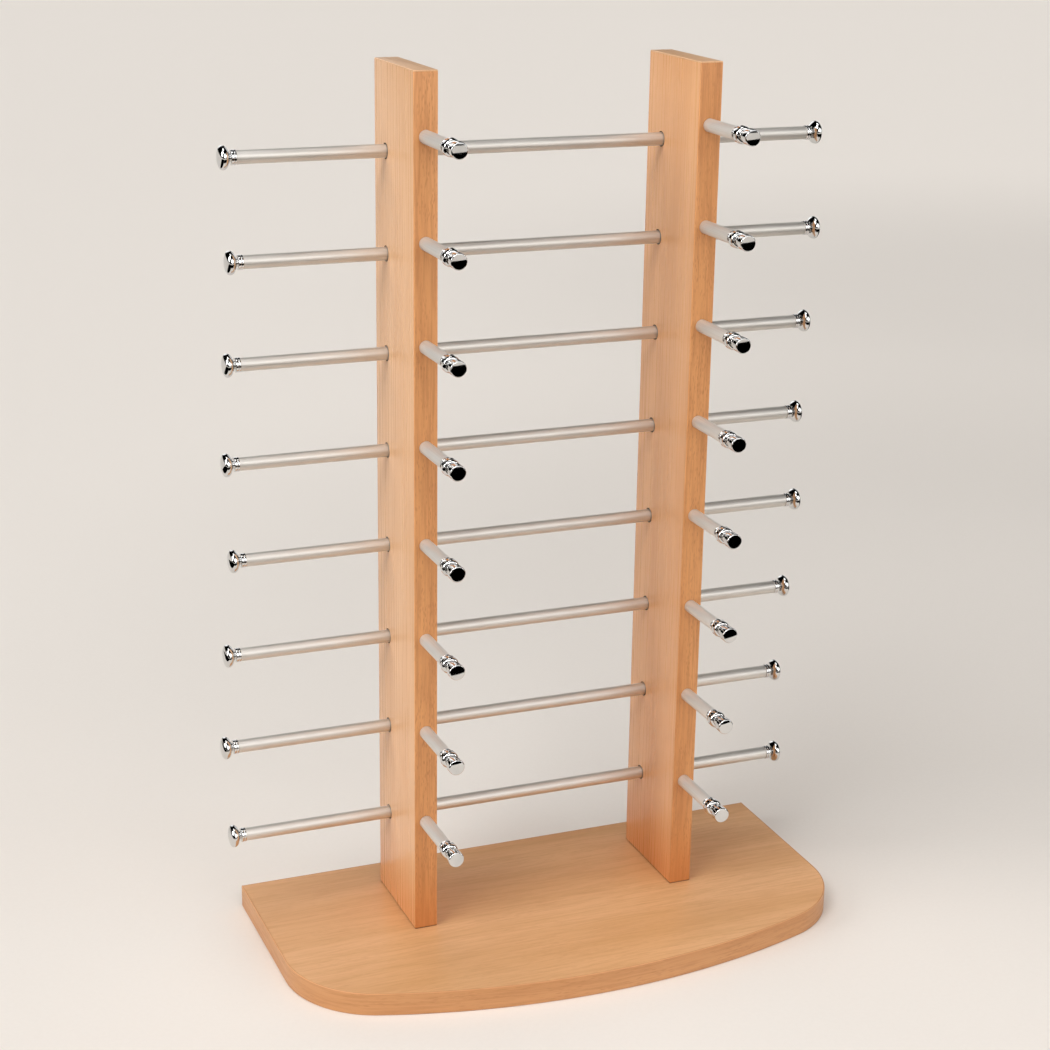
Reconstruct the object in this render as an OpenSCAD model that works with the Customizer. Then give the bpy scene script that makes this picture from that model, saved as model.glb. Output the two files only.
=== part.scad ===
// Countertop display rack for eyeglasses: two laminate uprights on a bowed base board,
// long tubes that slide through both uprights, and short grooved pegs on the front edges.
// Origin: middle of the base's underside. +X to the right, +Y to the back, +Z up.

/* [Base board] */
// Width of the base board
base_w = 455; // [430:5:480]
// Depth of the base board, from its straight back to the middle of its bowed front
base_d = 230; // [220:5:240]
// Thickness of the base board and of both uprights
board_t = 18; // [16:1:20]
// Radius of the two rounded front corners
corner_r = 75; // [60:5:80]
// Radius of the bowed front
bow_r = 560; // [520:10:700]
// Thickness of the edging strips glued round the boards
edging_t = 1; // [0.6:0.2:2]

/* [Uprights] */
// Height of the whole rack
rack_h = 680; // [670:5:700]
// Depth of an upright over its edging
upright_d = 87; // [82:1:92]
// Distance between the middles of the two uprights
upright_spacing = 220; // [200:5:240]
// Y of the uprights' front edges
upright_front = -3; // [-8:1:2]

/* [Long rods] */
// Height of the top rod's axis
top_rod_z = 616; // [610:1:620]
// Distance between rows
row_pitch = 75; // [72:0.5:76]
// Y of the rods' axes
rod_y = 60; // [55:1:65]
// Outer diameter of every tube
tube_d = 10; // [9:0.5:11]
// Wall of every tube
tube_wall = 1; // [0.8:0.1:1.5]
// Length of a long tube, without its knobs
rod_len = 454; // [440:2:470]
// Gap round a long tube in an upright's bore
rod_clearance = 0.3; // [0.3:0.1:0.4]
// Diameter of the knobs on the long rods
knob_d = 17.6; // [16:0.2:19]

/* [Pegs] */
// Height of a peg's axis above the long rod of its row
peg_rise = 18; // [14:1:22]
// Length of peg tube that shows in front of its upright
peg_len = 45; // [40:1:50]
// Depth of the blind hole that holds a peg
peg_socket = 20; // [15:1:25]
// Diameter of the ring behind a peg cap's groove
ring_d = 13.2; // [12:0.2:14]
// Diameter of a peg cap's round end
end_d = 12.2; // [11:0.2:13]
// Diameter at the bottom of a peg cap's groove
groove_d = 8.8; // [8:0.2:10]

/* [Fixings] */
// Diameter of the wooden dowels under the uprights
dowel_d = 8; // [6:1:8]
// Length of the wooden dowels
dowel_len = 30; // [25:1:35]
// Diameter of the screws under the uprights
screw_d = 4; // [3.5:0.5:5]
// Length of the screws
screw_len = 48; // [40:1:55]

/* [Hidden] */
$fn = 96;
ROWS = 8;
SIDES = ["left", "right"];
// Where each long rod was last left, as its shift to the right from the middle, top row first
REST_SHIFT = [-3, 0, -4, -7, -4, -10, -14, -10];

fit_gap = 0.05;         // round a part that is pushed or glued into its hole
spigot_len = 12;        // plug of a knob or cap inside its tube
collar_over = 1;        // collar of a knob, wider than its tube, so that it stops at an upright
collar_len = 3.8;
neck_len = 1;
knob_back = 4.8;        // bulge of a knob behind its widest circle
knob_front = 3.4;       // bulge of a knob in front of it
face_dome = 0.45;       // rise of a peg cap's face from its rim to its middle
dowel_sink = 11;        // depth of the dowel holes in the base
head_d = 9;             // countersunk screw head
head_h = 2.6;
head_sink = 0.4;
overcut = 1;            // how far a cutting shape runs past the face that it cuts
corner_proud = 0.05;    // how far a front corner's circle stands out of the bow, so that they cross cleanly

tube_bore = tube_d - 2 * tube_wall;
upright_mid = upright_front + upright_d / 2;
dowel_y = [upright_mid - 30, upright_mid + 30];
screw_y = [upright_mid - 13, upright_mid + 13];
// Centre of the right-hand front corner's circle, and of the bowed front's circle
bow_y = bow_r - base_d / 2;
corner_x = base_w / 2 - corner_r;
corner_y = bow_y - sqrt(pow(bow_r - corner_r + corner_proud, 2) - pow(corner_x, 2));

row_names = [for (row = [1:ROWS]) str(row)];

function side_x(side) = (side == "left" ? -1 : 1) * upright_spacing / 2;
function rod_z(row) = top_rod_z - (row - 1) * row_pitch;
function peg_z(row) = rod_z(row) + peg_rise;

// Quarter of a rounded lobe, as [radius, height] points from its rim to its pole.
// A squareness of 2 is an ellipse, and more is fuller.
function lobe(radius, height, squareness, steps = 12) = [
    for (i = [0:steps])
        let (angle = 90 * i / steps)
            [radius * pow(cos(angle), 2 / squareness), height * pow(sin(angle), 2 / squareness)]
];

// Cylinders that lie along X (pointing right) and along Y (pointing to the front)
module along_x(x, y, z, d, h) {
    translate([x, y, z]) rotate([0, 90, 0]) cylinder(d = d, h = h);
}
module along_front(x, y, z, d, h) {
    translate([x, y, z]) rotate([90, 0, 0]) cylinder(d = d, h = h);
}

// ---- Base ----

// Plan of the base, drawn in by inset all round its front and sides
module base_plan(inset, back_inset) {
    cut_x = corner_x * (bow_r - inset) / (bow_r - corner_r);
    half_w = base_w / 2 - inset;
    back_y = base_d / 2 - back_inset;
    translate([-half_w, corner_y]) square([2 * half_w, back_y - corner_y]);
    for (end = [-1, 1]) translate([end * corner_x, corner_y]) circle(r = corner_r - inset);
    intersection() {
        translate([0, bow_y]) circle(r = bow_r - inset, $fn = 720);
        translate([-cut_x, -base_d]) square([2 * cut_x, base_d + corner_y + overcut]);
    }
}

module under_upright_holes() {
    for (side = SIDES) {
        for (y = dowel_y) translate([side_x(side), y, board_t - dowel_sink])
            cylinder(d = dowel_d + 2 * fit_gap, h = dowel_sink + overcut);
        for (y = screw_y) translate([side_x(side), y, 0]) {
            translate([0, 0, -overcut]) cylinder(d = screw_d + 4 * fit_gap, h = board_t + 2 * overcut);
            translate([0, 0, -overcut]) cylinder(d = head_d + 2 * fit_gap, h = head_sink + overcut);
            translate([0, 0, head_sink]) cylinder(d1 = head_d + 2 * fit_gap, d2 = screw_d, h = head_h);
        }
    }
}

module base_board() {
    color([0.83, 0.62, 0.42]) difference() {
        linear_extrude(board_t) base_plan(edging_t, edging_t);
        under_upright_holes();
    }
}

module base_front_edging() {
    color([0.78, 0.50, 0.31]) linear_extrude(board_t) difference() {
        base_plan(0, 0);
        base_plan(edging_t, -overcut);
    }
}

module base_back_edging() {
    inner_w = base_w - 2 * edging_t;
    color([0.78, 0.50, 0.31])
        translate([-inner_w / 2, base_d / 2 - edging_t, 0]) cube([inner_w, edging_t, board_t]);
}

// ---- Uprights ----

module upright(side) {
    x = side_x(side) - board_t / 2;
    color([0.86, 0.58, 0.38]) difference() {
        translate([x, upright_front + edging_t, board_t])
            cube([board_t, upright_d - 2 * edging_t, rack_h - edging_t - board_t]);
        for (row = [1:ROWS]) {
            along_x(x - overcut, rod_y, rod_z(row), tube_d + 2 * rod_clearance, board_t + 2 * overcut);
            along_front(side_x(side), upright_front + peg_socket, peg_z(row),
                tube_d + 2 * fit_gap, peg_socket + overcut);
        }
        for (y = dowel_y) translate([side_x(side), y, board_t - overcut])
            cylinder(d = dowel_d + 2 * fit_gap, h = dowel_len - dowel_sink + 2 * overcut);
        for (y = screw_y) translate([side_x(side), y, board_t - overcut])
            cylinder(d = screw_d + 2 * fit_gap, h = screw_len - board_t + 2 * overcut);
    }
}

// Edging strip on the front of an upright, which the pegs go through
module upright_front_edging(side) {
    color([0.80, 0.50, 0.30]) difference() {
        translate([side_x(side) - board_t / 2, upright_front, board_t])
            cube([board_t, edging_t, rack_h - edging_t - board_t]);
        for (row = [1:ROWS]) along_front(side_x(side), upright_front + edging_t + overcut, peg_z(row),
            tube_d + 2 * fit_gap, edging_t + 2 * overcut);
    }
}

module upright_back_edging() {
    color([0.80, 0.50, 0.30]) for (side = SIDES)
        translate([side_x(side) - board_t / 2, upright_front + upright_d - edging_t, board_t])
            cube([board_t, edging_t, rack_h - edging_t - board_t]);
}

module upright_top_edging() {
    color([0.82, 0.54, 0.34]) for (side = SIDES)
        translate([side_x(side) - board_t / 2, upright_front, rack_h - edging_t])
            cube([board_t, upright_d, edging_t]);
}

module upright_dowels() {
    color([0.85, 0.72, 0.52]) for (side = SIDES, y = dowel_y)
        translate([side_x(side), y, board_t - dowel_sink]) cylinder(d = dowel_d, h = dowel_len);
}

module upright_screws() {
    shank_z = head_sink + head_h;
    tip_z = screw_len - screw_d;
    color([0.70, 0.70, 0.68]) for (side = SIDES, y = screw_y) translate([side_x(side), y, 0]) difference() {
        union() {
            translate([0, 0, head_sink]) cylinder(d1 = head_d, d2 = screw_d, h = head_h);
            translate([0, 0, shank_z]) cylinder(d = screw_d, h = tip_z - shank_z);
            translate([0, 0, tip_z]) cylinder(d1 = screw_d, d2 = 0.6, h = screw_d);
        }
        // Cross recess for the driver
        for (turn = [0, 90]) rotate(turn) translate([-2.2, -0.5, head_sink - overcut])
            cube([4.4, 1, 1.6 + overcut]);
    }
}

// ---- Long rods, which slide sideways through both uprights ----

module long_rod(row) {
    x = REST_SHIFT[row - 1] - rod_len / 2;
    color([0.78, 0.78, 0.77]) difference() {
        along_x(x, rod_y, rod_z(row), tube_d, rod_len);
        along_x(x - overcut, rod_y, rod_z(row), tube_bore, rod_len + 2 * overcut);
    }
}

// Mushroom knob that stands on z = 0 with its spigot below
module knob() {
    neck_r = 3;
    widest = collar_len + neck_len + knob_back;
    back = [for (p = lobe(knob_d / 2, knob_back, 2.2)) if (p[0] > neck_r) [p[0], widest - p[1]]];
    front = [for (p = lobe(knob_d / 2, knob_front, 3.2)) [p[0], widest + p[1]]];
    translate([0, 0, -spigot_len]) cylinder(d = tube_bore - 2 * fit_gap, h = spigot_len);
    cylinder(d = tube_d + collar_over, h = collar_len);
    cylinder(r = neck_r, h = widest);
    rotate_extrude() polygon(concat(
        [[0, widest - knob_back * 0.8], [neck_r, widest - knob_back * 0.8]],
        [for (i = [len(back) - 1:-1:1]) back[i]], front));
}

module long_rod_knobs(row) {
    color([0.86, 0.87, 0.88]) for (end = [-1, 1])
        translate([REST_SHIFT[row - 1] + end * rod_len / 2, rod_y, rod_z(row)])
            rotate([0, end * 90, 0]) knob();
}

// ---- Pegs on the front edges ----

module peg(side, row) {
    x = side_x(side);
    y = upright_front + peg_socket;
    color([0.76, 0.76, 0.76]) difference() {
        along_front(x, y, peg_z(row), tube_d, peg_socket + peg_len);
        along_front(x, y + overcut, peg_z(row), tube_bore, peg_socket + peg_len + 2 * overcut);
    }
}

// End cap with a groove for the bridge of a pair of glasses. It stands on z = 0 with its spigot below.
module peg_cap_shape() {
    flange_r = tube_d / 2 + 0.4;
    ring_r = ring_d / 2;
    groove_r = groove_d / 2;
    end_r = end_d / 2;
    flange_z = 1.6;     // end of the flange against the tube
    ring_z = 8;         // widest circle of the ring
    groove_z = 11;      // back of the groove
    end_z = 17;         // front of the groove
    shoulder_z = 18.8;  // back of the round end's straight side
    rim_z = 22.9;       // front of its straight side
    rim_r = 0.9;        // rounding of its rim
    face_r = end_r - rim_r;
    ring_front = [for (p = lobe(ring_r - groove_r, groove_z - ring_z, 2, 6)) [groove_r + p[0], ring_z + p[1]]];
    end_back = [for (p = lobe(end_r - groove_r, shoulder_z - end_z, 2.4, 6)) [groove_r + p[0], shoulder_z - p[1]]];
    rim = [for (p = lobe(rim_r, rim_r, 2, 5)) [face_r + p[0], rim_z + p[1]]];
    face = [for (i = [1:8]) [face_r * (1 - i / 8), rim_z + rim_r + face_dome * (1 - pow(1 - i / 8, 2))]];
    translate([0, 0, -spigot_len]) cylinder(d = tube_bore - 2 * fit_gap, h = spigot_len);
    rotate_extrude() polygon(concat(
        [[0, 0], [flange_r, 0], [flange_r, flange_z], [ring_r - 0.4, ring_z - 2]],
        ring_front,
        [for (i = [len(end_back) - 1:-1:0]) end_back[i]],
        rim, face));
}

module peg_cap(side, row) {
    color([0.86, 0.87, 0.88])
        translate([side_x(side), upright_front - peg_len, peg_z(row)]) rotate([90, 0, 0]) peg_cap_shape();
}

// ---- Parts drawn ----

base_board();
base_front_edging();
base_back_edging();
for (side = SIDES) {
    upright(side);
    upright_front_edging(side);
}
upright_back_edging();
upright_top_edging();
upright_dowels();
upright_screws();
for (row = [1:ROWS]) {
    long_rod(row);
    long_rod_knobs(row);
    for (side = SIDES) {
        peg(side, row);
        peg_cap(side, row);
    }
}
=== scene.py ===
import math

import bmesh
import bpy
from mathutils import Matrix, Vector


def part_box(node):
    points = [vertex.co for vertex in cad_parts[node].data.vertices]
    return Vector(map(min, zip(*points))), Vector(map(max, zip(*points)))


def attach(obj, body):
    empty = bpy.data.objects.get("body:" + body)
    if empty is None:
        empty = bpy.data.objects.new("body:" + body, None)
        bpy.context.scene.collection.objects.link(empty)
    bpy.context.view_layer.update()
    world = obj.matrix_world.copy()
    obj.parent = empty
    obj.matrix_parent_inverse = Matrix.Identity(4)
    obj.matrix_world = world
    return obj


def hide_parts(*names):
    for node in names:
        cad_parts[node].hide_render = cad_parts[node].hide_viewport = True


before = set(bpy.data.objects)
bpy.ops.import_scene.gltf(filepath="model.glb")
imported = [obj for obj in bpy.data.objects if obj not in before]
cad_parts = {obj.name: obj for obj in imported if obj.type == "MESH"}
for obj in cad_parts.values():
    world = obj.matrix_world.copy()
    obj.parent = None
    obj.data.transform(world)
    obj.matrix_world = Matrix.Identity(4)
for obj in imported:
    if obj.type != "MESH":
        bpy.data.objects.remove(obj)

MM = 0.001
SIDES = ("left", "right")
ROWS = range(1, 9)


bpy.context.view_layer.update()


# ---- Sizes, in millimetres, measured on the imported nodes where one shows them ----


def node_box(node):
    low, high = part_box(node)
    return [x / MM for x in low], [x / MM for x in high]


BASE_LOW, BASE_HIGH = node_box("base_front_edging")
BOARD_HIGH = node_box("base_board")[1]
EDGING_T = BASE_HIGH[0] - BOARD_HIGH[0]
BASE_T = BASE_HIGH[2]
CORNER_R = 75       # rounded front corners of the base
BOW_R = 560         # bowed front of the base
KNOB_R = 8.8
TUBE_R = 5.0
BORE_R = TUBE_R + 0.3
PEG_HOLE_R = 5.05
SEAM = 0.18         # tiny chamfer on both sides of a glue line
FOOT = 0.55         # easing at the foot of an upright
EASE = 0.5          # rounding of the edgings' outer edges
BASE_EASE = 0.6     # rounding of the base's back edging
SPIGOT = [(-12, 0), (-12, 3.9, 0.4), (0, 3.9)]  # plug of a knob or cap, up to the end of its tube


# ---- Mesh tools ----


def filleted(points, steps=3, closed=False):
    """Points of a flat outline, with each corner that states a size as its third value rounded off by it."""
    out = []
    for i, point in enumerate(points):
        size = point[2] if len(point) > 2 else 0
        if not size or (not closed and i in (0, len(points) - 1)):
            out.append(tuple(point[:2]))
            continue
        before, corner, after = (Vector(points[j % len(points)][:2]) for j in (i - 1, i, i + 1))
        start = corner + (before - corner).normalized() * min(size, (before - corner).length * 0.49)
        end = corner + (after - corner).normalized() * min(size, (after - corner).length * 0.49)
        for k in range(steps + 1):
            t = k / steps
            out.append(tuple(start * (1 - t) ** 2 + corner * 2 * t * (1 - t) + end * t * t))
    return out


def superellipse(radius, height, squareness, steps=14):
    """A rounded lobe from its rim to its pole, as (radius, height). A squareness of 2 is an ellipse, more is fuller."""
    turns = [math.pi / 2 * i / steps for i in range(steps + 1)]
    return [
        (radius * max(0.0, math.cos(a)) ** (2 / squareness), height * math.sin(a) ** (2 / squareness))
        for a in turns
    ]


def lathe(bm, profile, place, segments=72, closed=False):
    """Turns (distance along the axis, radius) points round an axis; place(s, angle, r) gives a point in millimetres."""
    rings = []
    for s, r in profile:
        if r < 1e-6:
            rings.append([bm.verts.new(place(s, 0, 0))])
        else:
            rings.append([bm.verts.new(place(s, 2 * math.pi * k / segments, r)) for k in range(segments)])
    pairs = list(zip(rings, rings[1:])) + ([(rings[-1], rings[0])] if closed else [])
    for a, b in pairs:
        for k in range(segments):
            n = (k + 1) % segments
            corners = [a[k % len(a)], a[n % len(a)], b[n % len(b)], b[k % len(b)]]
            face = [v for i, v in enumerate(corners) if v not in corners[:i]]
            if len(face) > 2:
                bm.faces.new(face)


def on_x(x, y, z, way=1):
    """Placement for a lathe along X from x, y, z."""
    return lambda s, a, r: Vector((x + way * s, y + r * math.cos(a), z + r * math.sin(a))) * MM


def on_front(x, y, z):
    """Placement for a lathe along -Y from x, y, z."""
    return lambda s, a, r: Vector((x + r * math.cos(a), y - s, z + r * math.sin(a))) * MM


def on_z(x, y, z):
    """Placement for a lathe along Z from x, y, z."""
    return lambda s, a, r: Vector((x + r * math.cos(a), y + r * math.sin(a), z + s)) * MM


def slab(bm, low, high, rounded, size, segments=3):
    """A box whose edges that rounded(middle, direction) picks are rounded off by size."""
    corners = [
        bm.verts.new(Vector([(low, high)[i][axis] for axis, i in enumerate(pick)]) * MM)
        for pick in [(x, y, z) for x in (0, 1) for y in (0, 1) for z in (0, 1)]
    ]
    for face in ((0, 1, 3, 2), (4, 6, 7, 5), (0, 4, 5, 1), (2, 3, 7, 6), (0, 2, 6, 4), (1, 5, 7, 3)):
        bm.faces.new([corners[i] for i in face])
    mine = set(corners)
    chosen = []
    for e in bm.edges:
        if e.verts[0] in mine and e.verts[1] in mine:
            middle = (e.verts[0].co + e.verts[1].co) / 2 / MM
            way = (e.verts[1].co - e.verts[0].co).normalized()
            if rounded(middle, [abs(round(c)) for c in way]):
                chosen.append(e)
    if chosen:
        bmesh.ops.bevel(
            bm, geom=chosen, offset=size * MM, offset_type="OFFSET", segments=segments, profile=0.5,
            affect="EDGES", clamp_overlap=True,
        )


def post(bm, low, high, corners, bottom, top):
    """An upright board or strip. corners rounds the front left, front right, back right and back left edges;
    bottom and top are how far the ends are eased."""

    def ring(z, inset):
        x0, y0, x1, y1 = low[0] + inset, low[1] + inset, high[0] - inset, high[1] - inset
        outline = [(x0, y0, corners[0]), (x1, y0, corners[1]), (x1, y1, corners[2]), (x0, y1, corners[3])]
        return [bm.verts.new(Vector((x, y, z)) * MM) for x, y in filleted(outline, steps=4, closed=True)]

    turns = [math.pi / 2 * k / 3 for k in range(4)]
    levels = [(low[2], bottom), (low[2] + bottom, 0)]
    levels += [(high[2] - top * (1 - math.sin(a)), top * (1 - math.cos(a))) for a in turns]
    rings = [ring(z, inset) for z, inset in levels]
    for a, b in zip(rings, rings[1:]):
        for k in range(len(a)):
            n = (k + 1) % len(a)
            bm.faces.new((a[k], a[n], b[n], b[k]))
    bm.faces.new(rings[0])
    bm.faces.new(rings[-1])


def cut(bm, cutters):
    """bm less cutters, both closed meshes, by the exact boolean."""
    made = []
    for part in (bm, cutters):
        bmesh.ops.recalc_face_normals(part, faces=part.faces)
        mesh = bpy.data.meshes.new("cut")
        part.to_mesh(mesh)
        part.free()
        made.append(bpy.data.objects.new("cut", mesh))
        bpy.context.scene.collection.objects.link(made[-1])
    boolean = made[0].modifiers.new("cut", "BOOLEAN")
    boolean.operation, boolean.solver, boolean.object = "DIFFERENCE", "EXACT", made[1]
    bpy.context.view_layer.update()
    evaluated = made[0].evaluated_get(bpy.context.evaluated_depsgraph_get())
    result = bmesh.new()
    result.from_mesh(evaluated.data)
    for o in made:
        bpy.data.objects.remove(o)
    bmesh.ops.remove_doubles(result, verts=result.verts, dist=1e-7)
    return result


def finish_mesh(bm, name, material, body, nodes, grain, wear=None, sharp=32):
    """Makes the piece on its body, with point attributes for its materials: grain is the place in the grown wood or
    drawn tube, X along it, wear is 1 on a worn edge, and height is above the floor. sharp is in degrees."""
    bmesh.ops.recalc_face_normals(bm, faces=bm.faces)
    for f in bm.faces:
        f.smooth = True
    for e in bm.edges:
        e.smooth = len(e.link_faces) == 2 and e.calc_face_angle(0) < math.radians(sharp)
    mesh = bpy.data.meshes.new(name)
    bm.to_mesh(mesh)
    bm.free()
    points = [v.co.copy() for v in mesh.vertices]
    values = mesh.attributes.new("grain", "FLOAT_VECTOR", "POINT").data
    values.foreach_set("vector", [x for p in points for x in grain(p)])
    values = mesh.attributes.new("wear", "FLOAT", "POINT").data
    values.foreach_set("value", [wear(p / MM) if wear else 0.0 for p in points])
    values = mesh.attributes.new("height", "FLOAT", "POINT").data
    values.foreach_set("value", [p.z for p in points])
    mesh.materials.append(material)
    piece = bpy.data.objects.new(name, mesh)
    bpy.context.scene.collection.objects.link(piece)
    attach(piece, body)
    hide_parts(*nodes)
    return piece


def box_wear(low, high, size):
    """1 on the rounded edges of a box, 0 on its faces."""

    def wear(p):
        inside = sum(0.05 < min(p[a] - low[a], high[a] - p[a]) < size * 0.9 for a in range(3))
        return 1.0 if inside >= 2 else 0.0

    return wear


# ---- Material tools ----


class Tree:
    """A material's nodes, with short calls for the ones that repeat here."""

    def __init__(self, name):
        self.material = bpy.data.materials.new(name)
        self.material.use_nodes = True
        self.nodes = self.material.node_tree.nodes
        self.links = self.material.node_tree.links
        self.shader = self.nodes["Principled BSDF"]

    def feed(self, socket, value):
        if isinstance(value, bpy.types.NodeSocket):
            self.links.new(value, socket)
        else:
            socket.default_value = value

    def attribute(self, name, output="Vector"):
        node = self.nodes.new("ShaderNodeAttribute")
        node.attribute_name = name
        return node.outputs[output]

    def scaled(self, vector, scale):
        node = self.nodes.new("ShaderNodeVectorMath")
        node.operation = "MULTIPLY"
        self.links.new(vector, node.inputs[0])
        node.inputs[1].default_value = scale
        return node.outputs["Vector"]

    def across(self, vector, amount):
        """vector with amount added to its second part."""
        move = self.nodes.new("ShaderNodeCombineXYZ")
        self.feed(move.inputs["Y"], amount)
        node = self.nodes.new("ShaderNodeVectorMath")
        node.operation = "ADD"
        self.links.new(vector, node.inputs[0])
        self.links.new(move.outputs["Vector"], node.inputs[1])
        return node.outputs["Vector"]

    def noise(self, vector, scale, detail=2.0, roughness=0.5):
        node = self.nodes.new("ShaderNodeTexNoise")
        self.links.new(self.scaled(vector, scale), node.inputs["Vector"])
        node.inputs["Scale"].default_value = 1.0
        node.inputs["Detail"].default_value = detail
        node.inputs["Roughness"].default_value = roughness
        return node.outputs["Fac"]

    def cells(self, vector, scale):
        node = self.nodes.new("ShaderNodeTexVoronoi")
        self.links.new(self.scaled(vector, scale), node.inputs["Vector"])
        node.inputs["Scale"].default_value = 1.0
        return node.outputs["Distance"]

    def span(self, value, low, high, to_low=0.0, to_high=1.0):
        """to_low below low, to_high above high, and a smooth change between."""
        node = self.nodes.new("ShaderNodeMapRange")
        node.interpolation_type = "SMOOTHSTEP"
        self.links.new(value, node.inputs["Value"])
        for key, number in (("From Min", low), ("From Max", high), ("To Min", to_low), ("To Max", to_high)):
            node.inputs[key].default_value = number
        return node.outputs["Result"]

    def math(self, operation, a, b=0.0):
        node = self.nodes.new("ShaderNodeMath")
        node.operation = operation
        self.feed(node.inputs[0], a)
        self.feed(node.inputs[1], b)
        return node.outputs["Value"]

    def blend(self, amount, a, b):
        """Colour a where amount is 0 and b where it is 1."""
        node = self.nodes.new("ShaderNodeMix")
        node.data_type = "RGBA"
        self.feed(node.inputs[0], amount)
        self.feed(node.inputs[6], a)
        self.feed(node.inputs[7], b)
        return node.outputs[2]

    def bump(self, height, strength, distance):
        node = self.nodes.new("ShaderNodeBump")
        node.inputs["Strength"].default_value = strength
        node.inputs["Distance"].default_value = distance
        self.links.new(height, node.inputs["Height"])
        self.links.new(node.outputs["Normal"], self.shader.inputs["Normal"])


def colour(r, g, b):
    return (r, g, b, 1.0)


def wood(name, pale, deep, fleck, lines=0.5, flecks=0.5, warp=0.004, roughness=0.42, short=14.0, painted_foot_shade=0.0,
         fine=1.0):
    """Beech: slow bands of colour, fine lines along the grain and short dark flecks. short breaks up the lines,
    the foot amount paints a deeper, redder painted bounce and shade just above the base board and a near-black painted
    contact shadow along the joint, and fine makes the flecks smaller."""
    t = Tree(name)
    grain = t.attribute("grain")
    sway = t.noise(grain, (3.0, 9.0, 9.0), detail=2.0)
    along = t.across(grain, t.math("MULTIPLY", t.math("SUBTRACT", sway, 0.5), warp))
    bands = t.noise(along, (2.2, 34.0, 34.0), detail=3.0, roughness=0.55)
    streaks = t.noise(along, (short, 520.0, 520.0), detail=3.0, roughness=0.6)
    threads = t.noise(along, (22.0, 1100.0, 1100.0), detail=2.0, roughness=0.5)
    dashes = t.cells(along, (120.0 * fine, 720.0 * fine, 720.0 * fine))
    patchy = t.noise(along, (20.0, 130.0, 130.0), detail=2.0)
    body = t.blend(t.span(bands, 0.3, 0.7), colour(*pale), colour(*deep))
    body = t.blend(t.span(streaks, 0.4, 0.68, 0.0, 0.8 * lines), body, colour(*fleck))
    body = t.blend(t.span(threads, 0.5, 0.8, 0.0, 0.55 * lines), body, colour(*fleck))
    spots = t.math("MULTIPLY", t.span(dashes, 0.12, 0.42, 1.0, 0.0), t.span(patchy, 0.3, 0.6))
    body = t.blend(t.math("MULTIPLY", spots, flecks), body, colour(*fleck))
    worn = t.math("MULTIPLY", t.attribute("wear", "Fac"), t.span(patchy, 0.25, 0.7, 0.35, 0.8))
    body = t.blend(worn, body, colour(*[min(1.0, c * 1.22 + 0.02) for c in pale]))
    # Painted shade: over the lowest 67 mm a deeper, redder colour stands in for light bounced off the base board and
    # its shade, and a near-black line just above the base top is a painted contact shadow at the joint.
    if painted_foot_shade:
        height, base_top = t.attribute("height", "Fac"), BASE_T * MM
        painted_bounce_shade = t.span(height, base_top, base_top + 0.067, painted_foot_shade, 0.0)
        body = t.blend(painted_bounce_shade, body, colour(deep[0] * 0.98, deep[1] * 0.72, deep[2] * 0.5))
        painted_contact_shadow = t.span(height, base_top + 0.0003, base_top + 0.0015, 0.9, 0.0)
        body = t.blend(painted_contact_shadow, body, colour(0.12, 0.04, 0.012))
    t.links.new(body, t.shader.inputs["Base Color"])
    gloss = t.math("ADD", t.span(streaks, 0.3, 0.75, -0.035, 0.045), roughness)
    t.links.new(gloss, t.shader.inputs["Roughness"])
    t.shader.inputs["Specular IOR Level"].default_value = 0.5
    relief = t.math("ADD", t.math("MULTIPLY", threads, 0.5), t.math("MULTIPLY", spots, -0.35))
    t.bump(relief, 0.16, 0.00012)
    return t.material


def aluminium(name, metal=1.0):
    """Satin tube with faint drawn lines along it. Less metal gives it a paler, matter oxide skin."""
    t = Tree(name)
    grain = t.attribute("grain")
    drawn = t.noise(grain, (9.0, 1500.0, 1500.0), detail=3.0, roughness=0.55)
    cloud = t.noise(grain, (28.0, 60.0, 60.0), detail=2.0)
    grit = t.noise(grain, (1900.0, 2600.0, 2600.0), detail=2.0)
    body = t.blend(t.span(drawn, 0.3, 0.7), colour(0.745, 0.71, 0.66), colour(0.81, 0.775, 0.725))
    body = t.blend(t.span(cloud, 0.35, 0.75, 0.0, 0.35), body, colour(0.73, 0.695, 0.65))
    body = t.blend(t.attribute("wear", "Fac"), body, colour(0.95, 0.95, 0.95))
    t.links.new(body, t.shader.inputs["Base Color"])
    t.shader.inputs["Metallic"].default_value = metal
    rough = t.math("ADD", t.span(drawn, 0.3, 0.7, -0.03, 0.04), t.span(grit, 0.3, 0.7, 0.52, 0.58))
    t.links.new(rough, t.shader.inputs["Roughness"])
    t.bump(t.math("ADD", t.math("MULTIPLY", drawn, 0.6), t.math("MULTIPLY", grit, 0.4)), 0.12, 0.00004)
    return t.material


def chrome(name):
    """Polished plating, a little duller where fingers touch it."""
    t = Tree(name)
    grain = t.attribute("grain")
    touch = t.noise(grain, (120.0, 120.0, 120.0), detail=3.0)
    ripple = t.noise(grain, (420.0, 420.0, 420.0), detail=1.0)
    body = t.blend(t.span(touch, 0.3, 0.7), colour(0.74, 0.735, 0.725), colour(0.67, 0.67, 0.665))
    t.links.new(body, t.shader.inputs["Base Color"])
    t.shader.inputs["Metallic"].default_value = 1.0
    t.links.new(t.span(touch, 0.35, 0.8, 0.035, 0.085), t.shader.inputs["Roughness"])
    t.bump(ripple, 0.05, 0.00005)
    return t.material


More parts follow.
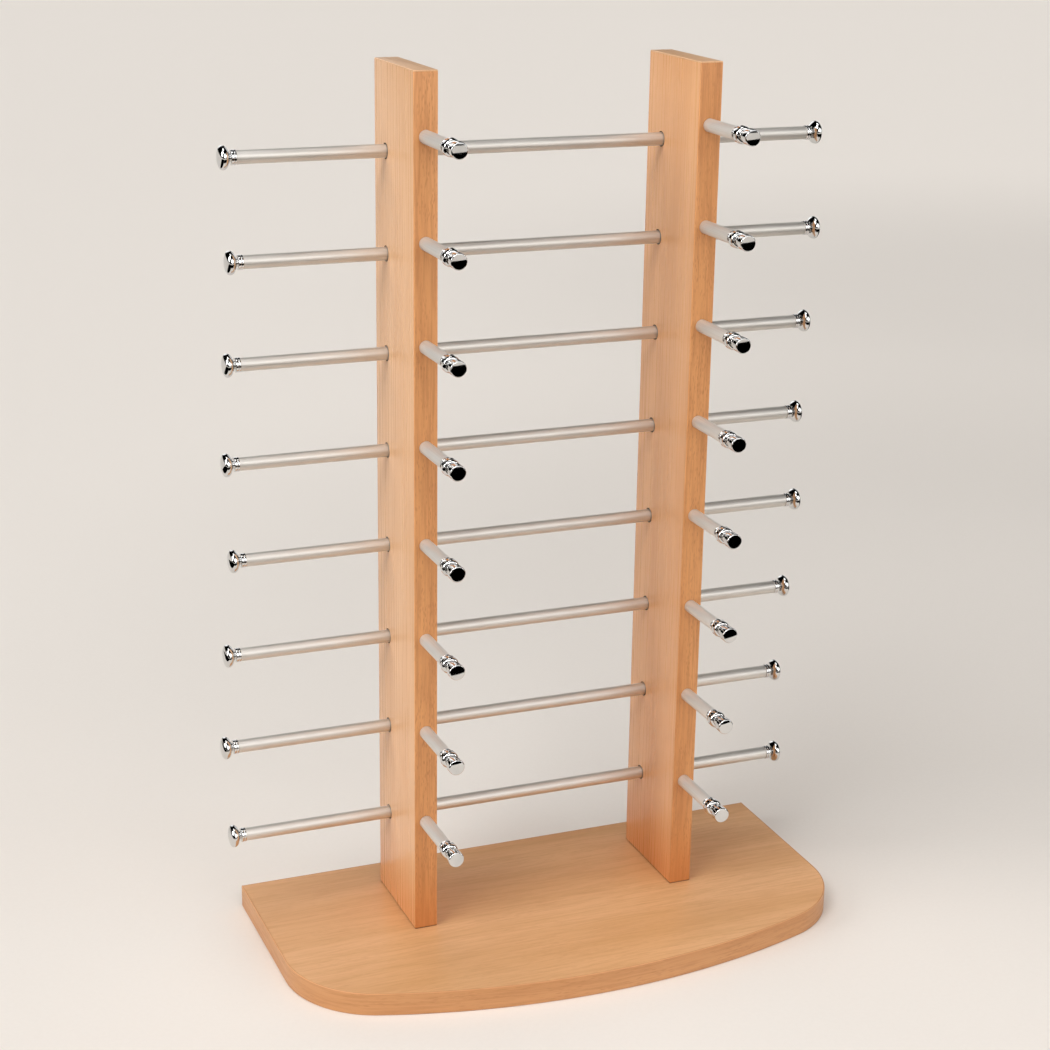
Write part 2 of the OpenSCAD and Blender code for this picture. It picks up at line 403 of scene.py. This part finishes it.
def steel(name):
    """Zinc plated screw."""
    t = Tree(name)
    place = t.nodes.new("ShaderNodeTexCoord").outputs["Object"]
    spangle = t.cells(place, (900.0, 900.0, 900.0))
    body = t.blend(t.span(spangle, 0.1, 0.7), colour(0.62, 0.63, 0.62), colour(0.74, 0.73, 0.68))
    t.links.new(body, t.shader.inputs["Base Color"])
    t.shader.inputs["Metallic"].default_value = 1.0
    t.links.new(t.span(spangle, 0.1, 0.8, 0.28, 0.42), t.shader.inputs["Roughness"])
    t.bump(spangle, 0.1, 0.00005)
    return t.material


def raw_beech(name):
    """Unfinished dowel."""
    t = Tree(name)
    place = t.nodes.new("ShaderNodeTexCoord").outputs["Object"]
    fibres = t.noise(place, (900.0, 900.0, 25.0), detail=3.0)
    body = t.blend(t.span(fibres, 0.3, 0.7), colour(0.72, 0.52, 0.31), colour(0.58, 0.38, 0.2))
    t.links.new(body, t.shader.inputs["Base Color"])
    t.links.new(t.span(fibres, 0.2, 0.8, 0.6, 0.75), t.shader.inputs["Roughness"])
    t.bump(fibres, 0.25, 0.0001)
    return t.material


def painted_bore_shade(name):
    """Near-black bore walls: partly the raw board a drill leaves, painted much darker as the shade in the gap round
    each rod.
    """
    t = Tree(name)
    grain = t.attribute("grain")
    chips = t.cells(grain, (600.0, 900.0, 900.0))
    body = t.blend(t.span(chips, 0.1, 0.7), colour(0.115, 0.05, 0.02), colour(0.05, 0.02, 0.008))
    t.links.new(body, t.shader.inputs["Base Color"])
    t.links.new(t.span(chips, 0.1, 0.8, 0.75, 0.95), t.shader.inputs["Roughness"])
    t.bump(chips, 0.4, 0.0002)
    return t.material


# The three colours of each wood are linear: its pale bands, its deep bands, and its lines and flecks
SIDE_DECORS = {
    "left": wood("beech_left_side_decor", (0.825, 0.487, 0.262), (0.742, 0.413, 0.207), (0.62, 0.31, 0.14),
                 lines=0.3, flecks=0.12, warp=0.003, roughness=0.29, short=5.0, painted_foot_shade=0.75),
    # The right board's decor is a redder copy of the left one: painted bounce light and shade on its shaded inner face.
    "right": wood("beech_right_side_decor_painted_bounce", (0.875, 0.487, 0.245), (0.79, 0.413, 0.193), (0.66, 0.31, 0.13),
                  lines=0.3, flecks=0.12, warp=0.003, roughness=0.29, short=5.0, painted_foot_shade=0.8),
}
TOP_DECOR = wood("beech_top_decor", (0.82, 0.46, 0.217), (0.71, 0.373, 0.157), (0.575, 0.265, 0.10),
                 lines=0.42, flecks=0.3, warp=0.014, roughness=0.40, short=34.0)
FRONT_DECOR = wood("beech_front_edging", (0.735, 0.34, 0.125), (0.62, 0.262, 0.086), (0.44, 0.165, 0.05),
                   lines=0.6, flecks=0.75, warp=0.008, roughness=0.44, short=26.0, painted_foot_shade=0.5, fine=1.4)
BASE_DECOR = wood("beech_base_edging", (0.65, 0.325, 0.138), (0.57, 0.26, 0.097), (0.44, 0.178, 0.058),
                  lines=0.5, flecks=0.5, warp=0.004, roughness=0.42, short=26.0)
CAP_DECOR = wood("beech_top_edging", (0.80, 0.49, 0.275), (0.69, 0.40, 0.21), (0.52, 0.27, 0.12),
                 lines=0.5, flecks=0.4, warp=0.004, roughness=0.42)
ALUMINIUM = aluminium("satin_aluminium")
PEG_ALUMINIUM = aluminium("satin_aluminium_pegs", 0.6)
CHROME = chrome("polished_chrome")
STEEL = steel("zinc_plated_steel")
DOWEL = raw_beech("raw_beech")
BORE_SHADE = painted_bore_shade("painted_bore_shade")


# ---- Base ----


def plan(inset, corner_step=3.0, bow_step=4.0):
    """Outline of the base drawn in by inset, from the back right corner round the front to the back left one.
    The steps are the lengths of its sides on the rounded corners and on the bow."""
    half_w, back = BASE_HIGH[0], BASE_HIGH[1]
    bow_y = BASE_LOW[1] + BOW_R
    corner_x = half_w - CORNER_R
    corner_y = bow_y - math.sqrt((BOW_R - CORNER_R) ** 2 - corner_x**2)
    turn = math.atan2(corner_y - bow_y, corner_x)
    chip = 0.35 * max(0.0, 1 - inset / EDGING_T)
    right = [(half_w - inset - chip, back), (half_w - inset, back - chip - 0.01)]
    right += [(half_w - inset, back + (corner_y - back) * k / 8) for k in range(1, 8)]
    steps = math.ceil(CORNER_R * -turn / corner_step)
    for k in range(steps + 1):
        a = turn * k / steps
        right.append((corner_x + (CORNER_R - inset) * math.cos(a), corner_y + (CORNER_R - inset) * math.sin(a)))
    steps = math.ceil(BOW_R * (math.pi / 2 + turn) / bow_step)
    for k in range(1, steps + 1):
        a = turn + (-math.pi / 2 - turn) * k / steps
        right.append(((BOW_R - inset) * math.cos(a), bow_y + (BOW_R - inset) * math.sin(a)))
    return right + [(-x, y) for x, y in right[-2::-1]]


def running_length(points):
    """Distance from the first point to each."""
    total, out = 0.0, [0.0]
    for a, b in zip(points, points[1:]):
        total += math.dist(a, b)
        out.append(total)
    return out


def build_base_board():
    """The board, with a countersunk hole from below for each screw."""
    bm = bmesh.new()
    levels = [(EDGING_T + SEAM, 0), (EDGING_T, SEAM), (EDGING_T, BASE_T - SEAM), (EDGING_T + SEAM, BASE_T)]
    loops = []
    for inset, z in levels:
        extra = inset - EDGING_T
        outline = plan(inset)
        outline = [(x, min(y, BOARD_HIGH[1] - extra)) for x, y in outline[1:-1]]
        loops.append([bm.verts.new(Vector((x, y, z)) * MM) for x, y in outline])
    for a, b in zip(loops, loops[1:]):
        for k in range(len(a)):
            n = (k + 1) % len(a)
            bm.faces.new((a[k], a[n], b[n], b[k]))
    bm.faces.new(loops[0])
    bm.faces.new(loops[-1])
    cutters = bmesh.new()
    low, high = node_box("upright_screws")
    head_r, shank_r = 4.5, 2.1
    hole = [(-1, 0), (-1, head_r + 0.05), (0.4, head_r + 0.05), (3.0, shank_r), (BASE_T - 1, shank_r),
            (BASE_T - 1, 0)]
    for x in (low[0] + head_r, high[0] - head_r):
        for y in (low[1] + head_r, high[1] - head_r):
            lathe(cutters, hole, on_z(x, y, 0), 40)
    finish_mesh(cut(bm, cutters), "base_board_top", TOP_DECOR, "stand", ["base_board"],
                lambda p: Vector((p.x, p.y, p.z + 0.31)))


def build_base_front_edging():
    """The strip bent round the front and sides of the board, with its grain along the bend."""
    section = filleted([
        (EDGING_T, SEAM), (EDGING_T - SEAM, 0), (0, 0, 0.5), (0, BASE_T, 0.8),
        (EDGING_T - SEAM, BASE_T), (EDGING_T, BASE_T - SEAM),
    ], steps=4, closed=True)
    bm = bmesh.new()
    loops = []
    for inset, z in section:
        loops.append([bm.verts.new(Vector((x, y, z)) * MM) for x, y in plan(inset)])
    for a, b in zip(loops, loops[1:] + loops[:1]):
        for k in range(len(a) - 1):
            bm.faces.new((a[k], a[k + 1], b[k + 1], b[k]))
    for end in (0, -1):
        bm.faces.new([loop[end] for loop in loops])
    outline = plan(0)
    lengths = running_length(outline)

    def grain(p):
        x, y = p.x / MM, p.y / MM
        nearest = min(range(len(outline)), key=lambda k: (outline[k][0] - x) ** 2 + (outline[k][1] - y) ** 2)
        return Vector((lengths[nearest] * MM, p.z, 0.57))

    def wear(p):
        height = min(p.z, BASE_T - p.z)
        return 1.0 if 0.02 < height < 0.6 and p.z > BASE_T / 2 else 0.0

    finish_mesh(bm, "base_edging_strip", BASE_DECOR, "stand", ["base_front_edging"], grain, wear)


def build_base_back_edging():
    low, high = node_box("base_back_edging")
    bm = bmesh.new()
    slab(bm, low, high, lambda m, way: way[0] == 1 and m.y > (low[1] + high[1]) / 2, BASE_EASE)
    finish_mesh(bm, "base_back_strip", BASE_DECOR, "stand", ["base_back_edging"],
                lambda p: Vector((p.x, p.z, 0.93)), box_wear(low, high, BASE_EASE))


# ---- Uprights ----


def rod_axis(row):
    """Y and Z of a row's long rod."""
    low, high = node_box(f"long_rod_{row}")
    return (low[1] + high[1]) / 2, (low[2] + high[2]) / 2


def peg_axis(side, row):
    """X and Z of a peg."""
    low, high = node_box(f"{side}_peg_{row}")
    return (low[0] + high[0]) / 2, (low[2] + high[2]) / 2


def peg_cutters(side, front, reach):
    """Cutters for the eight peg holes of a side, chamfered where they come out at the front."""
    cutters = bmesh.new()
    for row in ROWS:
        x, z = peg_axis(side, row)
        hole = [(-reach, 0), (-reach, PEG_HOLE_R), (-0.15, PEG_HOLE_R), (1, PEG_HOLE_R + 1.15), (1, 0)]
        lathe(cutters, hole, on_front(x, front, z), 56)
    return cutters


def build_upright(side, index):
    """A board with its bores, eased at both ends, whose walls and eased rims carry painted shade, and its peg sockets.
    """
    low, high = node_box(f"{side}_upright")
    bm = bmesh.new()
    post(bm, low, high, (SEAM,) * 4, FOOT, SEAM)
    thick, eased, socket = high[0] - low[0], 0.6, 19
    bore = [(-1, 0), (-1, BORE_R + 1 + eased), (eased, BORE_R), (thick - eased, BORE_R),
            (thick + 1, BORE_R + 1 + eased), (thick + 1, 0)]
    cutters = bmesh.new()
    for row in ROWS:
        y, z = rod_axis(row)
        lathe(cutters, bore, on_x(low[0], y, z), 72)
        x, z = peg_axis(side, row)
        hole = [(-socket, 0), (-socket, PEG_HOLE_R), (1, PEG_HOLE_R), (1, 0)]
        lathe(cutters, hole, on_front(x, low[1], z), 48)
    shift = 0.37 * index
    piece = finish_mesh(cut(bm, cutters), f"{side}_upright_board", SIDE_DECORS[side], "stand",
                        [f"{side}_upright"], lambda p: Vector((p.z + shift, p.y, p.x + shift)))
    piece.data.materials.append(BORE_SHADE)
    # Painted shade: the bore walls and their eased rims take the near-black material, standing in for the shadowed gap
    # round each rod.
    axes = [rod_axis(row) for row in ROWS]
    for face in piece.data.polygons:
        y, z = face.center.y / MM, face.center.z / MM
        near = min(math.hypot(y - a, z - b) for a, b in axes)
        if near < BORE_R + 1.2 and abs(face.normal.x) < 0.95:
            face.material_index = 1


def build_front_edging(side, index):
    low, high = node_box(f"{side}_upright_front_edging")
    bm = bmesh.new()
    post(bm, low, high, (EASE, EASE, SEAM, SEAM), FOOT, SEAM)
    shift = 0.41 * index
    finish_mesh(cut(bm, peg_cutters(side, low[1], 3)), f"{side}_upright_front_strip", FRONT_DECOR, "stand",
                [f"{side}_upright_front_edging"],
                lambda p: Vector((p.z + shift, p.x, 0.11 + shift)), box_wear(low, high, EASE))


def build_pair_of_strips(node, name, material, corners, bottom, top, grain):
    """The same strip on both uprights, as one piece."""
    low, high = node_box(node)
    board_low, board_high = node_box("left_upright")
    width = board_high[0] - board_low[0]
    bm = bmesh.new()
    ends = [([x, low[1], low[2]], [x + width, high[1], high[2]]) for x in (low[0], high[0] - width)]
    for a, b in ends:
        post(bm, a, b, corners, bottom, top)
    wears = [box_wear(a, b, EASE) for a, b in ends]
    finish_mesh(bm, name, material, "stand", [node], grain,
                lambda p: wears[0](p) if p.x < 0 else wears[1](p))


# ---- Tubes, knobs and pegs ----


def tube_profile(length, wall=1.0):
    """Closed outline of a tube's wall, with eased rims."""
    count = max(2, round(length / 30))
    outer = [(length * k / count, TUBE_R) for k in range(1, count)]
    return filleted([(0, TUBE_R, 0.25), *outer, (length, TUBE_R, 0.25), (length, TUBE_R - wall, 0.2),
                     (0, TUBE_R - wall, 0.2)], steps=3, closed=True)


def knob_profile():
    """Mushroom knob: spigot, collar, neck, and a bun with a low dome."""
    collar, collar_r, neck_r, widest = 3.8, 5.5, 3.0, 9.6
    back = [(widest - h, r) for r, h in superellipse(KNOB_R, 4.8, 2.2, 18) if r > neck_r + 0.3]
    front = [(widest + h, r) for r, h in superellipse(KNOB_R, 3.4, 2.35, 22)]
    body = filleted([
        *SPIGOT, (0, collar_r, 0.3), (1.3, collar_r, 0.1), (1.5, collar_r - 0.2, 0.1), (1.9, collar_r - 0.2, 0.1),
        (2.1, collar_r, 0.1), (collar, collar_r, 0.35), (collar, neck_r, 0.3), (4.6, neck_r, 0.2),
    ], steps=3)
    return body + back[::-1] + front[1:]


def cap_profile():
    """Peg cap: spigot, stepped flange, flared ring, groove for the bridge of the glasses, and a round end."""
    ring, groove, end, rim_r, dome_steps = 6.6, 4.4, 6.1, 0.9, 14
    back = filleted([
        *SPIGOT, (0, 5.4, 0.2), (0.7, 5.4, 0.12), (0.85, 5.1, 0.1), (1.15, 5.1, 0.1), (1.3, 5.5, 0.12),
        (1.9, 5.55, 0.1), (2.1, 5.25, 0.1), (2.4, 5.3, 0.1), (5.4, 6.15, 0.3), (5.8, ring, 0.3),
    ], steps=3)
    lip = [(8 + h, groove + r) for r, h in superellipse(ring - groove, 3, 2, 10)]
    shoulder = [(18.8 - h, groove + r) for r, h in superellipse(end - groove, 1.8, 2.4, 10)][::-1]
    rim = [(22.9 + h, end - rim_r + r) for r, h in superellipse(rim_r, 1.1, 2, 10)]
    dome = []
    for k in range(1, dome_steps + 1):
        outward = 1 - k / dome_steps
        dome.append((24.0 + 0.25 * (1 - outward**2), (end - rim_r) * outward))
    return back + lip + shoulder + rim + dome


def straight(shift):
    """Grain along X, shifted so that no two pieces show the same figure."""
    return lambda p: Vector((p.x + shift, p.y, p.z))


def build_rod(row):
    low, high = node_box(f"long_rod_{row}")
    y, z = rod_axis(row)
    bm = bmesh.new()
    lathe(bm, tube_profile(high[0] - low[0]), on_x(low[0], y, z), 72, closed=True)
    finish_mesh(bm, f"long_rod_{row}_tube", ALUMINIUM, f"rod_{row}", [f"long_rod_{row}"],
                straight(0.7 * row))
    bm = bmesh.new()
    lathe(bm, knob_profile(), on_x(high[0], y, z), 96)
    lathe(bm, knob_profile(), on_x(low[0], y, z, -1), 96)
    finish_mesh(bm, f"long_rod_{row}_knob_pair", CHROME, f"rod_{row}",
                [f"long_rod_knobs_{row}"], straight(0.3 * row), sharp=40)


def build_peg(side, row, index):
    low, high = node_box(f"{side}_peg_{row}")
    x, z = peg_axis(side, row)
    shift = 0.9 * row + 8.3 * index
    bm = bmesh.new()
    lathe(bm, tube_profile(high[1] - low[1]), on_front(x, high[1], z), 72, closed=True)
    finish_mesh(bm, f"{side}_peg_{row}_tube", PEG_ALUMINIUM, "stand", [f"{side}_peg_{row}"],
                lambda p: Vector((p.y + shift, p.x, p.z)))
    bm = bmesh.new()
    lathe(bm, cap_profile(), on_front(x, low[1], z), 96)
    finish_mesh(bm, f"{side}_peg_{row}_end_cap", CHROME, "stand", [f"{side}_peg_cap_{row}"],
                lambda p: Vector((p.y + shift, p.x, p.z)), sharp=40)


build_base_board()
build_base_front_edging()
build_base_back_edging()
for index, side in enumerate(SIDES):
    build_upright(side, index)
    build_front_edging(side, index)
build_pair_of_strips("upright_back_edging", "upright_back_strips", FRONT_DECOR, (SEAM, SEAM, EASE, EASE), FOOT, SEAM,
                     lambda p: Vector((p.z, p.x, 0.77)))
build_pair_of_strips("upright_top_edging", "upright_top_strips", CAP_DECOR, (EASE,) * 4, SEAM, 0.4,
                     lambda p: Vector((p.y + 0.2, p.x, 0.23)))
for row in ROWS:
    build_rod(row)
    for index, side in enumerate(SIDES):
        build_peg(side, row, index)
for node, material in (("upright_dowels", DOWEL), ("upright_screws", STEEL)):
    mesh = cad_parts[node].data
    mesh.materials.clear()
    mesh.materials.append(material)


# ---- Studio ----


# Direction from the front round to the left, height, half width and softness in degrees, and power
STUDIO_LIGHTS = (
    (90, 20, 14, 1.5, 6.4),
    (60, 50, 15, 1.5, 5.7),
    (338, 24, 22, 2, 1.85),
    (0, 90, 14, 2, 3.35),
    (180, 18, 18, 4, 1.45),
    (225, 18, 16, 3, 0.93),
    (300, 14, 11, 2, 3.55),
)


def build_floor():
    """A wide pale floor with painted shade: a soft painted shadow to the right of the rack and a broader painted
    falloff further right and back.
    """
    bm = bmesh.new()
    bmesh.ops.create_circle(bm, cap_ends=True, radius=40.0, segments=96)
    mesh = bpy.data.meshes.new("studio_floor")
    bm.to_mesh(mesh)
    bm.free()
    floor = bpy.data.objects.new("studio_floor", mesh)
    floor.location = (0, 0, -0.0003)
    bpy.context.scene.collection.objects.link(floor)
    t = Tree("studio_floor")
    place = t.nodes.new("ShaderNodeTexCoord").outputs["Object"]
    tooth = t.noise(place, (300.0, 300.0, 300.0), detail=2.0)
    body = t.blend(t.span(tooth, 0.3, 0.7), colour(0.93, 0.867, 0.80), colour(0.94, 0.877, 0.81))
    # Painted shadow: two soft dark spots, one just right of the rack and a broader one further right and back.
    for middle, inner, outer, depth in (((0.8, 0.6, 0), 0.3, 1.2, 0.16), ((1.9, 1.9, 0), 0.3, 1.7, 0.14)):
        away = t.nodes.new("ShaderNodeVectorMath")
        away.operation = "DISTANCE"
        t.links.new(place, away.inputs[0])
        away.inputs[1].default_value = middle
        shade = t.span(away.outputs["Value"], inner, outer, depth, 0.0)
        body = t.blend(shade, body, colour(0.0, 0.0, 0.0))
    t.links.new(body, t.shader.inputs["Base Color"])
    t.shader.inputs["Roughness"].default_value = 0.9
    t.shader.inputs["Specular IOR Level"].default_value = 0.1
    mesh.materials.append(t.material)


def build_card(name, low, high):
    """A black card on the floor that only reflections see: painted dark reflections in the chrome, tubes and wood
    sheen, while the camera, diffuse light and shadows pass through it.
    """
    bm = bmesh.new()
    slab(bm, low, high, lambda m, way: False, 0)
    mesh = bpy.data.meshes.new(name)
    bm.to_mesh(mesh)
    bm.free()
    card = bpy.data.objects.new(name, mesh)
    bpy.context.scene.collection.objects.link(card)
    card.visible_camera = card.visible_diffuse = card.visible_shadow = card.visible_transmission = False
    t = Tree(name)
    t.shader.inputs["Base Color"].default_value = colour(0.0, 0.0, 0.0)
    t.shader.inputs["Roughness"].default_value = 1.0
    t.shader.inputs["Specular IOR Level"].default_value = 0.0
    mesh.materials.append(t.material)


def build_world():
    """Pale to the camera. To the surfaces it is a studio of round soft lights, each given by where it stands."""
    world = bpy.data.worlds.new("studio")
    bpy.context.scene.world = world
    world.use_nodes = True
    nodes, links = world.node_tree.nodes, world.node_tree.links
    background = nodes["Background"]
    place = nodes.new("ShaderNodeTexCoord")

    def soft_light(turn, height, reach, soft, power):
        """turn is from the front towards the left, height above the horizon, reach the half width, all in degrees."""
        a, e = math.radians(turn), math.radians(height)
        toward = nodes.new("ShaderNodeVectorMath")
        toward.operation = "DOT_PRODUCT"
        links.new(place.outputs["Generated"], toward.inputs[0])
        toward.inputs[1].default_value = (-math.sin(a) * math.cos(e), -math.cos(a) * math.cos(e), math.sin(e))
        node = nodes.new("ShaderNodeMapRange")
        node.interpolation_type = "SMOOTHSTEP"
        links.new(toward.outputs["Value"], node.inputs["Value"])
        node.inputs["From Min"].default_value = math.cos(math.radians(reach + soft))
        node.inputs["From Max"].default_value = math.cos(math.radians(reach - soft))
        node.inputs["To Max"].default_value = power
        return node.outputs["Result"]

    total = None
    for light in STUDIO_LIGHTS:
        value = soft_light(*light)
        if total is not None:
            node = nodes.new("ShaderNodeMath")
            links.new(total, node.inputs[0])
            links.new(value, node.inputs[1])
            value = node.outputs["Value"]
        total = value
    rays = nodes.new("ShaderNodeLightPath")
    strength = nodes.new("ShaderNodeMix")
    strength.data_type = "FLOAT"
    links.new(rays.outputs["Is Camera Ray"], strength.inputs[0])
    links.new(total, strength.inputs[2])
    strength.inputs[3].default_value = 0.8
    tint = nodes.new("ShaderNodeMix")
    tint.data_type = "RGBA"
    links.new(rays.outputs["Is Camera Ray"], tint.inputs[0])
    tint.inputs[6].default_value = (1.0, 1.0, 1.0, 1.0)
    tint.inputs[7].default_value = (1.0, 0.935, 0.865, 1.0)
    links.new(tint.outputs[2], background.inputs["Color"])
    links.new(strength.outputs[0], background.inputs["Strength"])


def build_softbox(name, place, target, size, power):
    """A square light of that size at place, turned to target, in metres and watts."""
    light = bpy.data.lights.new(name, "AREA")
    light.shape, light.size, light.energy = "SQUARE", size, power
    lamp = bpy.data.objects.new(name, light)
    lamp.location = place
    lamp.rotation_euler = (Vector(target) - Vector(place)).to_track_quat("-Z", "Y").to_euler()
    bpy.context.scene.collection.objects.link(lamp)


def build_camera():
    """The photograph's camera, as solved from the edges of the boards and the rows. Yaw is to the right."""
    yaw, pitch, roll = (math.radians(a) for a in (22.033, 18.089, 0.834))
    forward = Vector((math.sin(yaw) * math.cos(pitch), math.cos(yaw) * math.cos(pitch), -math.sin(pitch)))
    right = Vector((math.cos(yaw), -math.sin(yaw), 0))
    up = right.cross(forward)
    across = math.cos(roll) * right + math.sin(roll) * up
    above = -math.sin(roll) * right + math.cos(roll) * up
    data = bpy.data.cameras.new("camera")
    data.sensor_width, data.lens = 36.0, 74.28
    data.clip_end = 200.0
    camera = bpy.data.objects.new("camera", data)
    turned = Matrix((across, above, -forward)).transposed().to_4x4()
    camera.matrix_world = Matrix.Translation(Vector((-611.4, -1436.4, 846.5)) * MM) @ turned
    bpy.context.scene.collection.objects.link(camera)
    bpy.context.scene.camera = camera


build_floor()
# Reflection-only black cards: painted dark reflections round the rack.
build_card("painted_reflection_card_front", (-660, -3300, 0.5), (3000, -600, 0.9))
build_card("painted_reflection_card_left", (-6000, -3300, 0.5), (-680, 1100, 0.9))
build_card("painted_reflection_card_right", (680, -580, 0.5), (6000, 900, 0.9))
build_world()
build_softbox("front_softbox", (-0.25, -1.75, 1.35), (0, 0, 0.55), 0.7, 7.0)
build_camera()
view = bpy.context.scene.view_settings
view.view_transform, view.look, view.exposure, view.gamma = "Standard", "None", 0.0, 1.0
